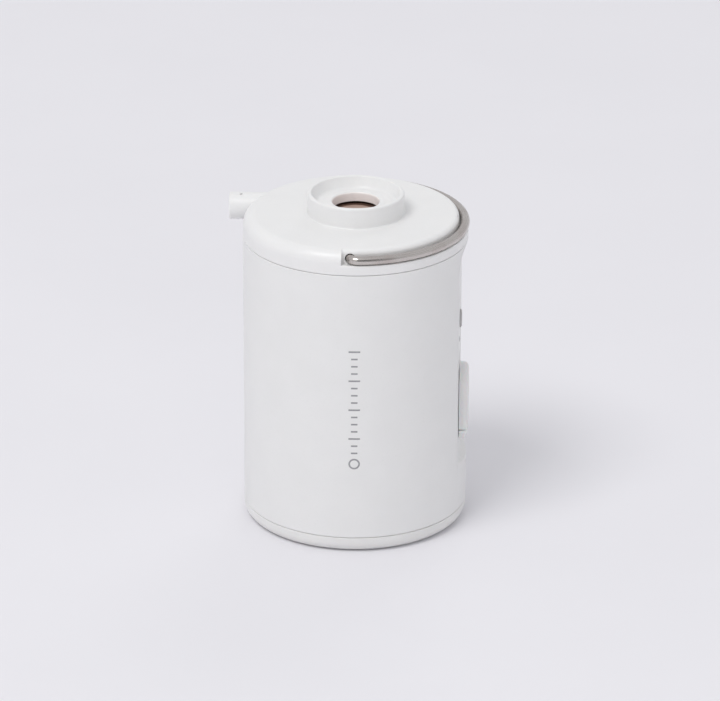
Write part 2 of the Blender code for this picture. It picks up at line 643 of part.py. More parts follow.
def make_volute(f):
    """Cup round the fan, screwed to the lid from below, with the motor screwed under it."""
    outer = VOLUTE_R + VOLUTE_WALL
    volute = turned("volute_base", [
        (3.3, VOLUTE_FLOOR_TOP), (VOLUTE_R, VOLUTE_FLOOR_TOP), (VOLUTE_R, VOLUTE_TOP),
        (outer, VOLUTE_TOP), (outer, FLANGE_TOP), (SPIGOT_R - 0.1, FLANGE_TOP),
        (SPIGOT_R - 0.1, VOLUTE_FLOOR_TOP), (outer, VOLUTE_FLOOR_TOP), (outer, VOLUTE_FLOOR),
        (3.3, VOLUTE_FLOOR),
    ], f["white_plastic"], 36)
    cut(volute, block("flange_panel_cut", (PANEL_INNER_X - GAP, -20.0, 60.0), (30.0, 20.0, 75.0)))
    cut(volute, turned("volute_outlet_cut", rod(NOZZLE_BORE_R + 0.3, -26.0, -10.0), None, 20,
                       (0.0, NOZZLE_Y, NOZZLE_Z), "X"))
    for i, angle in enumerate(MOTOR_SCREW_ANGLES):
        at = (*polar(MOTOR_SCREW_CIRCLE_R, angle), 0.0)
        cut(volute, turned(f"motor_screw_cut_{i}", stepped([(2.0, 71.0, 75.0), (SCREW_HOLE_R, 65.0, 71.0)]),
                           None, 16, at))
        turned(f"motor_screw_{i}", stepped([(1.7, 71.3, 72.1), (0.8, 67.8, 71.3)]),
               f["plated_steel"], 16, at)
    for i, angle in enumerate(SCREW_ANGLES):
        at = (*polar(SCREW_CIRCLE_R, angle), 0.0)
        cut(volute, turned(f"flange_screw_cut_{i}", rod(SCREW_HOLE_R, 65.0, 75.0), None, 12, at))
        turned(f"lid_screw_{i}", stepped([(0.8, 71.6, 78.9), (1.5, 70.6, 71.6)]),
               f["plated_steel"], 16, at)


def make_guard(f):
    """Finger guard pressed into the intake throat: a centre plate held by spokes in a ring."""
    guard = turned("intake_guard", sleeve(GUARD_RING_R, THROAT_R - GAP, 80.3, THROAT_TOP - GAP),
                   f["brown_plastic"], 28)
    plate_low = GUARD_PLATE_TOP - GUARD_THICK
    pieces = [turned("guard_plate", rod(GUARD_PLATE_R, plate_low, GUARD_PLATE_TOP), None, 26)]
    spoke = (GUARD_RING_R - GUARD_PLATE_R + 1.2, 0.7, GUARD_THICK - 0.2)
    for i in range(GUARD_SPOKES):
        bm = bmesh.new()
        bmesh.ops.create_cube(bm, size=1.0)
        bmesh.ops.scale(bm, vec=spoke, verts=bm.verts)
        middle = ((GUARD_RING_R + GUARD_PLATE_R) / 2, 0.0, GUARD_PLATE_TOP - GUARD_THICK / 2)
        bmesh.ops.translate(bm, vec=middle, verts=bm.verts)
        turn = Matrix.Rotation(2.0 * math.pi * (i + 0.1) / GUARD_SPOKES, 3, "Z")
        bmesh.ops.rotate(bm, matrix=turn, verts=bm.verts)
        pieces.append(add_object(f"guard_spoke_{i}", bm))
    fuse(guard, *pieces)


def make_chassis(f):
    """Inner deck between the battery and the motor, with posts up to the volute."""
    deck = turned("chassis", sleeve(7.0, 26.2, CHASSIS_Z, CHASSIS_Z + CHASSIS_THICK),
                  f["white_plastic"], 36)
    cut(deck, block("board_slot_cut", (16.9, -30.0, 40.0), (30.0, 30.0, 60.0)))
    collar = turned("chassis_collar", sleeve(13.8, 15.0, CHASSIS_Z + 0.4, 56.0), None, 30,
                    phase=2.0)
    fuse(deck, collar)
    for i, side in enumerate((-1, 1)):
        near, far = sorted((side * 18.0, side * 20.4))
        fuse(deck, block(f"chassis_post_{i}", (-5.0, near, CHASSIS_Z + 0.4), (5.0, far, 70.0)))
        near, far = sorted((side * 14.4, side * 18.6))
        fuse(deck, block(f"chassis_web_{i}", (-0.8, near, CHASSIS_Z + 0.5), (0.8, far, 55.0)))
    for i, side in enumerate((-1, 1)):
        cut(deck, block(f"terminal_slot_cut_{i}", (side * 8.6 - 1.8, -11.2, 45.0),
                        (side * 8.6 + 1.8, -9.2, 50.0)))


def make_leads(f):
    """Insulated leads from the board to the motor's terminals, laid under the chassis deck."""
    near_route = [(16.9, -6.0, 45.0), (14.0, -7.6, 46.0), (11.8, -9.4, 46.6), (10.2, -10.2, 46.7)]
    far_route = [(16.9, -8.4, 45.0), (14.5, -11.2, 46.0), (11.5, -14.0, 46.65), (4.0, -15.0, 46.65),
                 (-4.5, -15.0, 46.65), (-8.4, -13.4, 46.65), (-8.8, -11.2, 46.7)]
    wire("motor_lead_0", near_route, 0.4, f["red_sleeve"], resolution=1)
    wire("motor_lead_1", far_route, 0.4, f["black_sleeve"], resolution=1)


def main():
    for obj in list(bpy.data.objects):
        bpy.data.objects.remove(obj)
    f = finishes()
    make_body_shell(f)
    make_lid(f)
    make_bail(f)
    make_base(f)
    make_battery(f)
    make_electronics(f)
    make_port_cover(f)
    make_motor(f)
    make_impeller(f)
    make_volute(f)
    make_guard(f)
    make_chassis(f)
    make_leads(f)


main()
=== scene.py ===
"""Looks of a rechargeable mini air pump: moulded white casing, steel wire bail and milky base lamp.

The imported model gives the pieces' sizes and places. Where a box can't tell a size, a constant below
gives it. Lengths are in metres, and the body's axis is Z.
"""

import json
import math

import bmesh
import bpy
from mathutils import Matrix, Vector


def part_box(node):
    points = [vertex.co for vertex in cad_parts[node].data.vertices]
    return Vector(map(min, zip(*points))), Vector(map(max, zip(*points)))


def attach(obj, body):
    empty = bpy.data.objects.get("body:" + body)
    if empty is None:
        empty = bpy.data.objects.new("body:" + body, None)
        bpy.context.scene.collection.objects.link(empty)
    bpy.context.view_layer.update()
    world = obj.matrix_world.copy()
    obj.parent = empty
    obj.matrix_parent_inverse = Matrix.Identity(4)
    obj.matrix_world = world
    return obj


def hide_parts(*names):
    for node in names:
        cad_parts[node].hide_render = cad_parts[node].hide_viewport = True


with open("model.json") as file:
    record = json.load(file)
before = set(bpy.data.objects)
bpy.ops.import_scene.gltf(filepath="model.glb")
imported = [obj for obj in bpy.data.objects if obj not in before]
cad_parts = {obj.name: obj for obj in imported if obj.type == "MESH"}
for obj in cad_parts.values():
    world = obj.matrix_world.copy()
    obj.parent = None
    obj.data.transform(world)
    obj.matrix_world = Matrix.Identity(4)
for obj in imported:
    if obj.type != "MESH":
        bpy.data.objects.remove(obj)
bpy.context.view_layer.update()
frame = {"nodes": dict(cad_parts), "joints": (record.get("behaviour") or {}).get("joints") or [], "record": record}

MM = 0.001

# ---- Sizes read from the frame -----------------------------------------------------------------
joints = {joint["name"]: joint for joint in frame["joints"]}
_, base_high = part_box("lamp_diffuser")
shell_low, shell_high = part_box("body_shell")
lid_low, lid_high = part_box("top_lid")
wire_low, wire_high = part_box("bail_wire")
flap_low, flap_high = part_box("port_cover")
anchor_low, anchor_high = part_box("cover_anchor")
button_low, button_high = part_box("power_button")
pipe_low, pipe_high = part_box("indicator_pipe")

BODY_R = base_high.x
SHELL_BOTTOM = shell_low.z
SHELL_TOP = shell_high.z
SPIGOT_BOTTOM = lid_low.z
COLLAR_TOP = lid_high.z
NOZZLE_TIP_X = lid_low.x
WIRE_R = 0.465 * (wire_high.z - wire_low.z)
BAIL_Z = joints["bail_swing"]["pos_m"][2]
BAIL_R = wire_high.x - (wire_high.z - wire_low.z) / 2
FLAP_HINGE = Vector(joints["flap_open"]["pos_m"])
BUTTON_Z = (button_low.z + button_high.z) / 2
PANEL_X = pipe_high.x - 0.1 * MM

# ---- Sizes of the visible casing: the CAD's, a few of them eased a little for looks ------------
WALL = 1.8 * MM
EDGE = 0.22 * MM               # rounding of the moulded edges at the seams
SEAM = 0.145 * MM              # how far each moulding reaches into its seam
LID_BOTTOM = SHELL_TOP + 0.4 * MM
LID_TOP = COLLAR_TOP - 5.4 * MM
LID_FILLET = 3.2 * MM
LID_CEILING = LID_TOP - 1.8 * MM
LID_RING_R = 23.2 * MM
SPIGOT_R = 26.3 * MM
COLLAR_R = 12.3 * MM
SOCKET_R = 11.1 * MM
SOCKET_FLOOR = COLLAR_TOP - 2.7 * MM
BORE_R = 5.93 * MM
THROAT_R = 9.8 * MM
THROAT_TOP = LID_TOP + 0.6 * MM
REBATE_R = BAIL_R - WIRE_R - 0.4 * MM
REBATE_FLOOR = BAIL_Z - WIRE_R - 0.08 * MM
REBATE_END_X = -2.1 * MM
PIN_HOLE_R = WIRE_R + 0.2 * MM
PIN_INNER_Y = 22.6 * MM
BAIL_BEND_R = 2.0 * MM
NOZZLE_R = 3.5 * MM
NOZZLE_BORE_R = 2.4 * MM
NOZZLE_Y = 11.7 * MM
NOZZLE_Z = 78.17 * MM
NOZZLE_ROOT_X = -21.0 * MM
PANEL_BOTTOM = 18.0 * MM
PANEL_TOP = 67.6 * MM
PANEL_HALF_Y = 13.0 * MM
PANEL_INNER_X = 23.6 * MM
PORT_Z = 31.0 * MM
PORT_WIDTH = 5.0 * MM
PORT_HALF_HEIGHT = 5.2 * MM
COVER_ROOT_Z = 22.3 * MM
COVER_ROOT_R = 1.2 * MM
BUTTON_R = 2.35 * MM
INDICATOR_R = 0.9 * MM
CLEARANCE = 0.3 * MM           # gap round the pieces that pass through the panel
INDICATOR_Z = (pipe_low.z + pipe_high.z) / 2

SHELL_SIDES = 240
ROUND_SIDES = 64


# ---- Mesh helpers ------------------------------------------------------------------------------
def add_object(name, bm, material=None):
    """Turn a bmesh into a smooth-shaded object."""
    bmesh.ops.recalc_face_normals(bm, faces=bm.faces)
    mesh = bpy.data.meshes.new(name)
    bm.to_mesh(mesh)
    bm.free()
    mesh.shade_smooth()
    if material:
        mesh.materials.append(material)
    obj = bpy.data.objects.new(name, mesh)
    bpy.context.scene.collection.objects.link(obj)
    return obj


def arc(centre, radius, start, end, steps):
    """Return points on a circular arc, with angles in degrees."""
    points = []
    for i in range(steps + 1):
        angle = math.radians(start + (end - start) * i / steps)
        x = centre[0] + radius * math.cos(angle)
        points.append((0.0 if abs(x) < 1e-12 else x, centre[1] + radius * math.sin(angle)))
    return points


def bridge(bm, lower, upper):
    """Fill the band between two rings; either may be a single vertex on the axis."""
    count = max(len(lower), len(upper))
    if count == 1:
        return
    for i in range(count):
        j = (i + 1) % count
        corners = []
        for vertex in (lower[i % len(lower)], lower[j % len(lower)],
                       upper[j % len(upper)], upper[i % len(upper)]):
            if vertex not in corners:
                corners.append(vertex)
        bm.faces.new(corners)


def turned(name, profile, material=None, sides=ROUND_SIDES, at=(0.0, 0.0, 0.0), along="Z",
           phase=0.0):
    """Turn a closed (radius, height) profile about an axis through a point."""
    bm = bmesh.new()
    rings = []
    for radius, height in profile:
        if radius == 0.0:
            rings.append([bm.verts.new((0.0, 0.0, height))])
            continue
        ring = []
        for i in range(sides):
            angle = math.radians(phase) + 2.0 * math.pi * i / sides
            ring.append(bm.verts.new((radius * math.cos(angle), radius * math.sin(angle), height)))
        rings.append(ring)
    for i, ring in enumerate(rings):
        bridge(bm, ring, rings[(i + 1) % len(rings)])
    if along == "X":
        bmesh.ops.rotate(bm, matrix=Matrix.Rotation(math.pi / 2, 3, "Y"), verts=bm.verts)
    if along == "Y":
        bmesh.ops.rotate(bm, matrix=Matrix.Rotation(-math.pi / 2, 3, "X"), verts=bm.verts)
    bmesh.ops.translate(bm, vec=at, verts=bm.verts)
    return add_object(name, bm, material)


def rod(radius, low, high):
    """Return the profile of a solid cylinder."""
    return [(0.0, high), (radius, high), (radius, low), (0.0, low)]


def block(name, low, high, material=None):
    """Make a box between two corners."""
    bm = bmesh.new()
    bmesh.ops.create_cube(bm, size=1.0)
    bmesh.ops.scale(bm, vec=Vector(high) - Vector(low), verts=bm.verts)
    bmesh.ops.translate(bm, vec=(Vector(low) + Vector(high)) / 2, verts=bm.verts)
    return add_object(name, bm, material)


def extruded(name, outline, low, high, along, material=None):
    """Extrude a (y, z) outline along X, or an (x, z) outline along Y, or (x, y) along Z."""
    place = {
        "X": lambda u, v, w: (w, u, v),
        "Y": lambda u, v, w: (u, w, v),
        "Z": lambda u, v, w: (u, v, w),
    }[along]
    bm = bmesh.new()
    near = [bm.verts.new(place(u, v, low)) for u, v in outline]
    far = [bm.verts.new(place(u, v, high)) for u, v in outline]
    bm.faces.new(near)
    bm.faces.new(far)
    bridge(bm, near, far)
    return add_object(name, bm, material)


def stadium(width, low, high, steps=24):
    """Return a (y, z) outline with round ends, centred on y = 0."""
    radius = width / 2
    top = arc((0.0, high - radius), radius, 0.0, 180.0, steps)
    return top + arc((0.0, low + radius), radius, 180.0, 360.0, steps)


def settle(obj):
    """Apply an object's modifiers and remove the operands that they used."""
    operands = [m.object for m in obj.modifiers if m.type == "BOOLEAN"]
    bpy.context.view_layer.update()
    depsgraph = bpy.context.evaluated_depsgraph_get()
    settled = bpy.data.meshes.new_from_object(obj.evaluated_get(depsgraph))
    obj.modifiers.clear()
    obj.data = settled
    for operand in operands:
        bpy.data.objects.remove(operand)


def boolean(obj, operands, operation):
    """Cut or add each operand with a Boolean and apply it."""
    for operand in operands:
        modifier = obj.modifiers.new("cut", "BOOLEAN")
        modifier.operation = operation
        modifier.object = operand
        modifier.solver = "EXACT"
    settle(obj)


def even_normals(obj, angle=35.0):
    """Let the large faces set the shading, so that the flat ones stay flat."""
    obj.data.set_sharp_from_angle(angle=math.radians(angle))
    normals = obj.modifiers.new("face_normals", "WEIGHTED_NORMAL")
    normals.keep_sharp = True
    normals.weight = 80
    settle(obj)


def flared(radius, low, high, mouth, lip=0.3 * MM):
    """Return the profile of a cutter that rounds the edge of its hole at the mouth's height."""
    if high - mouth < mouth - low:
        rounded = arc((radius + lip, mouth - lip), lip, 100.0, 180.0, 6)
        edge = rounded[0][0]
        return [(0.0, high), (edge, high)] + rounded + [(radius, low), (0.0, low)]
    rounded = arc((radius + lip, mouth + lip), lip, 180.0, 260.0, 6)
    edge = rounded[-1][0]
    return [(0.0, high), (radius, high)] + rounded + [(edge, low), (0.0, low)]


def present(obj, body, material_slot, *cad_nodes):
    """Ride a finished piece on its body in place of its CAD nodes."""
    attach(obj, body)
    if cad_nodes:
        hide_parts(*cad_nodes)


# ---- Material helpers --------------------------------------------------------------------------
class Finish:
    """A Principled material that is built up from procedural layers in real-scale coordinates."""

    def __init__(self, name, rgb, roughness, metallic=0.0):
        self.material = bpy.data.materials.new(name)
        self.material.use_nodes = True
        self.tree = self.material.node_tree
        self.shader = self.tree.nodes["Principled BSDF"]
        self.coords = self.tree.nodes.new("ShaderNodeTexCoord").outputs["Object"]
        self.set("Base Color", (*rgb, 1.0))
        self.set("Roughness", roughness)
        self.set("Metallic", metallic)
        self.rgb = rgb
        self.roughness = roughness
        self.colour_socket = None
        self.rough_socket = None
        self.normal_socket = None

    def set(self, socket, value):
        """Set a plain value on the shader."""
        self.shader.inputs[socket].default_value = value

    def node(self, kind, **values):
        """Add a node and set its properties."""
        node = self.tree.nodes.new(kind)
        for key, value in values.items():
            setattr(node, key, value)
        return node

    def wire(self, source, target):
        """Link an output to an input."""
        self.tree.links.new(source, target)

    def math(self, operation, *operands):
        """Work out a value from numbers and outputs."""
        node = self.node("ShaderNodeMath", operation=operation)
        for i, operand in enumerate(operands):
            if isinstance(operand, (int, float)):
                node.inputs[i].default_value = operand
            else:
                self.wire(operand, node.inputs[i])
        return node.outputs[0]

    def noise(self, size, detail=3.0, rough=0.5, coords=None, seed=0.0):
        """Noise whose largest features are about that size in metres, from 0 to 1."""
        shift = self.node("ShaderNodeVectorMath", operation="ADD")
        self.wire(coords or self.coords, shift.inputs[0])
        shift.inputs[1].default_value = (seed, seed * 0.7, -seed)
        node = self.node("ShaderNodeTexNoise")
        self.wire(shift.outputs[0], node.inputs["Vector"])
        node.inputs["Scale"].default_value = 1.0 / size
        node.inputs["Detail"].default_value = detail
        node.inputs["Roughness"].default_value = rough
        return node.outputs["Fac"]

    def cells(self, size):
        """Small rounded cells, as on a spark-eroded mould."""
        node = self.node("ShaderNodeTexVoronoi", feature="SMOOTH_F1")
        self.wire(self.coords, node.inputs["Vector"])
        node.inputs["Scale"].default_value = 1.0 / size
        node.inputs["Smoothness"].default_value = 0.7
        return node.outputs["Distance"]

    def spread(self, value, low, high, to_low=0.0, to_high=1.0):
        """Map a value smoothly from one range to another."""
        node = self.node("ShaderNodeMapRange", interpolation_type="SMOOTHSTEP")
        self.wire(value, node.inputs["Value"])
        node.inputs["From Min"].default_value = low
        node.inputs["From Max"].default_value = high
        node.inputs["To Min"].default_value = to_low
        node.inputs["To Max"].default_value = to_high
        return node.outputs["Result"]

    def axis(self, name):
        """One of the object's own coordinates, in metres."""
        split = self.node("ShaderNodeSeparateXYZ")
        self.wire(self.coords, split.inputs[0])
        return split.outputs[name]

    def from_axis(self):
        """Distance from the object's upright axis, in metres."""
        across = self.math("POWER", self.axis("X"), 2.0)
        along = self.math("POWER", self.axis("Y"), 2.0)
        return self.math("SQRT", self.math("ADD", across, along))

    def tint(self, mask, rgb):
        """Mix another colour in where the mask is 1."""
        mix = self.node("ShaderNodeMix", data_type="RGBA", blend_type="MIX")
        self.wire(mask, mix.inputs["Factor"])
        if self.colour_socket:
            self.wire(self.colour_socket, mix.inputs[6])
        else:
            mix.inputs[6].default_value = (*self.rgb, 1.0)
        mix.inputs[7].default_value = (*rgb, 1.0)
        self.colour_socket = mix.outputs[2]
        self.wire(self.colour_socket, self.shader.inputs["Base Color"])

    def rough(self, mask, amount):
        """Add an amount of roughness where the mask is 1."""
        step = self.math("MULTIPLY", mask, amount)
        start = self.rough_socket if self.rough_socket else self.roughness
        self.rough_socket = self.math("ADD", start, step)
        self.wire(self.rough_socket, self.shader.inputs["Roughness"])

    def bump(self, height, depth):
        """Raise the surface by a height map, depth metres high."""
        node = self.node("ShaderNodeBump")
        node.inputs["Strength"].default_value = 1.0
        node.inputs["Distance"].default_value = depth
        self.wire(height, node.inputs["Height"])
        if self.normal_socket:
            self.wire(self.normal_socket, node.inputs["Normal"])
        self.normal_socket = node.outputs["Normal"]
        self.wire(self.normal_socket, self.shader.inputs["Normal"])


def darker(rgb, factor):
    """Return a colour with each channel scaled."""
    return tuple(channel * factor for channel in rgb)


def moulded(name, rgb, roughness, grain=0.22 * MM, grain_depth=0.006 * MM, handled=True):
    """Moulded plastic: spark-eroded grain, faint flow marks, handling polish and small scuffs."""
    finish = Finish(name, rgb, roughness)
    finish.tint(finish.spread(finish.noise(9 * MM, 4.0, seed=1.3), 0.35, 0.7), darker(rgb, 0.985))
    finish.tint(finish.spread(finish.noise(0.5 * MM, 2.0, seed=2.1), 0.55, 0.8), darker(rgb, 0.97))
    finish.rough(finish.spread(finish.noise(6 * MM, 3.0, seed=4.2), 0.3, 0.7, -0.5, 0.5), 0.10)
    finish.bump(finish.noise(14 * MM, 2.0, seed=3.3), 0.008 * MM)
    finish.bump(finish.cells(grain), grain_depth)
    finish.bump(finish.noise(grain * 0.6, 3.0), grain_depth * 0.6)
    if handled:
        scuffs = finish.spread(finish.noise(1.6 * MM, 5.0, 0.7, seed=7.7), 0.66, 0.72)
        foot = finish.spread(finish.axis("Z"), 7.0 * MM, 0.5 * MM)
        finish.tint(finish.math("MULTIPLY", finish.math("MULTIPLY", scuffs, foot), 0.5),
                    darker(rgb, 0.72))
        finish.rough(scuffs, 0.08)
    return finish


def scatter(finish, weight, radius, scale):
    """Let a little light travel under the surface."""
    finish.set("Subsurface Weight", weight)
    finish.set("Subsurface Radius", radius)
    finish.set("Subsurface Scale", scale)


def casing_plastic():
    """Matt white moulding."""
    finish = moulded("casing_plastic", (0.812, 0.811, 0.808), 0.42)
    scatter(finish, 0.06, (1.0, 0.9, 0.8), 0.6 * MM)
    finish.set("IOR", 1.49)
    return finish.material


def lid_plastic():
    """White moulding, with painted light inside the bore: its wall is painted lighter and pinker, a painted bounce
    from the brown part below.
    """
    finish = moulded("lid_plastic", (0.83, 0.828, 0.825), 0.33, 0.26 * MM, 0.004 * MM)
    # painted light: the bore wall is painted brighter than the white, with a pink painted reflection of the brown
    # nylon below
    bore = finish.spread(finish.from_axis(), BORE_R + 0.25 * MM, BORE_R + 0.1 * MM)
    finish.tint(bore, (0.93, 0.885, 0.87))
    scatter(finish, 0.06, (1.0, 0.9, 0.8), 0.6 * MM)
    finish.set("IOR", 1.49)
    return finish.material


def diffuser_plastic():
    """Milky lamp plastic, which light enters a little way."""
    finish = moulded("diffuser_plastic", (0.79, 0.785, 0.775), 0.34, 0.3 * MM, 0.003 * MM)
    scatter(finish, 0.35, (1.0, 0.95, 0.85), 1.6 * MM)
    return finish.material


def soft_silicone():
    """Soft white silicone, which picks up lint."""
    finish = moulded("soft_silicone", (0.81, 0.808, 0.805), 0.62, 0.12 * MM, 0.003 * MM, False)
    lint = finish.spread(finish.noise(0.35 * MM, 2.0, seed=9.1), 0.72, 0.78)
    finish.tint(lint, (0.55, 0.53, 0.50))
    finish.set("Subsurface Weight", 0.2)
    finish.set("Subsurface Scale", 1.0 * MM)
    finish.set("Sheen Weight", 0.12)
    return finish.material


def drawn_steel():
    """Bent stainless wire: fine lines drawn along it, and dull spots where it is handled."""
    finish = Finish("drawn_steel", (0.60, 0.565, 0.54), 0.22, 1.0)
    stretch = 0.02
    turn = finish.math("ARCTAN2", finish.axis("Y"), finish.axis("X"))
    along = finish.math("MULTIPLY", turn, BAIL_R * stretch)
    lines = finish.node("ShaderNodeCombineXYZ")
    finish.wire(along, lines.inputs["X"])
    finish.wire(finish.from_axis(), lines.inputs["Y"])
    finish.wire(finish.axis("Z"), lines.inputs["Z"])
    drawn = finish.noise(0.14 * MM, 3.0, 0.6, lines.outputs[0])
    finish.bump(drawn, 0.004 * MM)
    finish.rough(finish.spread(drawn, 0.35, 0.65, -0.5, 0.5), 0.14)
    dull = finish.spread(finish.noise(5 * MM, 4.0, 0.6), 0.45, 0.7)
    finish.rough(dull, 0.10)
    finish.tint(dull, (0.54, 0.49, 0.465))
    return finish.material


def matt_rubber(name, rgb):
    """Matt rubber with dark specks."""
    finish = moulded(name, rgb, 0.60, 0.14 * MM, 0.004 * MM, False)
    finish.tint(finish.spread(finish.noise(0.4 * MM, 2.0, seed=6.0), 0.70, 0.78), (0.16, 0.15, 0.14))
    return finish.material


def brown_nylon(name, painted_light_radius):
    """Brown glass-filled nylon, with painted light: paler inside a radius round the axis, where light through the
    bore falls on it.
    """
    finish = moulded(name, (0.115, 0.062, 0.045), 0.42, 0.2 * MM, 0.004 * MM, False)
    # painted light: the centre seen through the bore is painted paler, as if lit through it
    centre = finish.spread(finish.from_axis(), painted_light_radius + 0.3 * MM, painted_light_radius - 0.3 * MM)
    finish.tint(centre, (0.42, 0.295, 0.245))
    stain = finish.spread(finish.noise(1.2 * MM, 3.0, seed=5.0), 0.55, 0.75, 0.0, 0.35)
    finish.tint(stain, (0.24, 0.15, 0.115))
    return finish.material


def grey_print():
    """Pad-printed ink: thin, even, with tiny breaks where it is rubbed."""
    finish = Finish("grey_print", (0.30, 0.30, 0.31), 0.55)
    finish.tint(finish.spread(finish.noise(0.25 * MM, 3.0), 0.62, 0.70), (0.52, 0.52, 0.52))
    finish.tint(finish.spread(finish.noise(3 * MM, 2.0, seed=8.0), 0.4, 0.7), (0.34, 0.34, 0.35))
    finish.bump(finish.noise(0.1 * MM, 2.0), 0.002 * MM)
    return finish.material


def metal(name, rgb, roughness, grain=0.3 * MM):
    """Plated or rolled metal with a fine grain and a few tarnished patches."""
    finish = Finish(name, rgb, roughness, 1.0)
    finish.rough(finish.spread(finish.noise(grain, 3.0), 0.3, 0.7, -0.5, 0.5), 0.15)
    finish.tint(finish.spread(finish.noise(3 * MM, 4.0, seed=2.0), 0.5, 0.75), darker(rgb, 0.8))
    finish.bump(finish.noise(grain, 2.0), 0.003 * MM)
    return finish.material


def clear_pipe():
    """Clear plastic light pipe, part see-through."""
    finish = moulded("clear_pipe", (0.72, 0.76, 0.73), 0.18, 0.2 * MM, 0.001 * MM, False)
    finish.set("Transmission Weight", 0.5)
    return finish.material


# ---- Casing ------------------------------------------------------------------------------------
def make_shell(material):
    """Body tube with its flat panel, finger scoop and holes."""
    low = SHELL_BOTTOM - SEAM
    high = SHELL_TOP + SEAM
    inner = BODY_R - WALL
    profile = [(inner, high), (BODY_R - EDGE, high)]
    profile += arc((BODY_R - EDGE, high - EDGE), EDGE, 90.0, 0.0, 4)[1:]
    profile += [(BODY_R, low + (high - low) * share) for share in (0.8, 0.6, 0.4, 0.2)]
    profile += arc((BODY_R - EDGE, low + EDGE), EDGE, 0.0, -90.0, 4)
    profile.append((inner, low))
    shell = turned("shell_casing", profile, material, SHELL_SIDES)

    backing_r = BODY_R - WALL / 2
    backing_bottom = 12.0 * MM
    half_angle = math.degrees(math.acos(PANEL_INNER_X / backing_r))
    backing = extruded("panel_backing", arc((0.0, 0.0), backing_r, -half_angle, half_angle, 24),
                       backing_bottom, SHELL_TOP - 0.5 * MM, "Z")
    boolean(shell, [backing], "UNION")

    scoop_end_x = BODY_R + 0.1 * MM
    depth = scoop_end_x - PANEL_X
    outside = BODY_R + 2.0 * MM
    step_depth, step_height = 3.8 * MM, 2.1 * MM
    cut_from, cut_to = 20.0 * MM, 30.0 * MM
    scoop = []
    for step in range(25):
        angle = math.radians(90.0 * step / 24)
        scoop.append((PANEL_X + depth * (1.0 - math.cos(angle)),
                      PANEL_TOP + (SHELL_TOP - PANEL_TOP) * math.sin(angle)))
    foot = []
    for step in range(13):
        angle = math.radians(60.0 * step / 12)
        foot.append((PANEL_X + step_depth * (1.0 - math.cos(angle)),
                     PANEL_BOTTOM - step_height * math.sin(angle)))
    outline = foot + [(outside, PANEL_BOTTOM), (outside, SHELL_TOP + MM)]
    outline += [(scoop_end_x, SHELL_TOP + MM)] + scoop[::-1]
    panel = extruded("panel_cut", outline, -PANEL_HALF_Y, PANEL_HALF_Y, "Y")
    port = extruded("port_cut", stadium(PORT_WIDTH, PORT_Z - PORT_HALF_HEIGHT,
                                        PORT_Z + PORT_HALF_HEIGHT), cut_from, cut_to, "X")
    root = turned("root_cut", rod(COVER_ROOT_R + CLEARANCE, cut_from, cut_to), None, 32,
                  (0.0, 0.0, COVER_ROOT_Z), "X")
    button = turned("button_cut", flared(BUTTON_R + CLEARANCE, cut_from, cut_to, PANEL_X), None, 64,
                    (0.0, 0.0, BUTTON_Z), "X", 3.0)
    pipe_hole = flared(INDICATOR_R + 0.2 * MM, cut_from, cut_to, PANEL_X, 0.12 * MM)
    pipe = turned("pipe_cut", pipe_hole, None, 32, (0.0, 0.0, INDICATOR_Z), "X", 3.0)
    finger_r = 8.6 * MM
    finger_depth = 1.6 * MM
    finger = turned("finger_cut", arc((0.0, 0.0), finger_r, 90.0, -90.0, 40), None, 96,
                    (PANEL_X - finger_depth + finger_r, 0.0, flap_high.z - 1.6 * MM))
    saddle_r = NOZZLE_R + 0.35 * MM
    saddle = turned("saddle_cut", rod(saddle_r, -31.0 * MM, -19.0 * MM), None, 64,
                    (0.0, NOZZLE_Y, NOZZLE_Z), "X", 3.0)
    boolean(shell, [panel, port, root, button, pipe, finger, saddle], "DIFFERENCE")
    even_normals(shell)
    present(shell, "housing", "white_plastic", "body_shell")


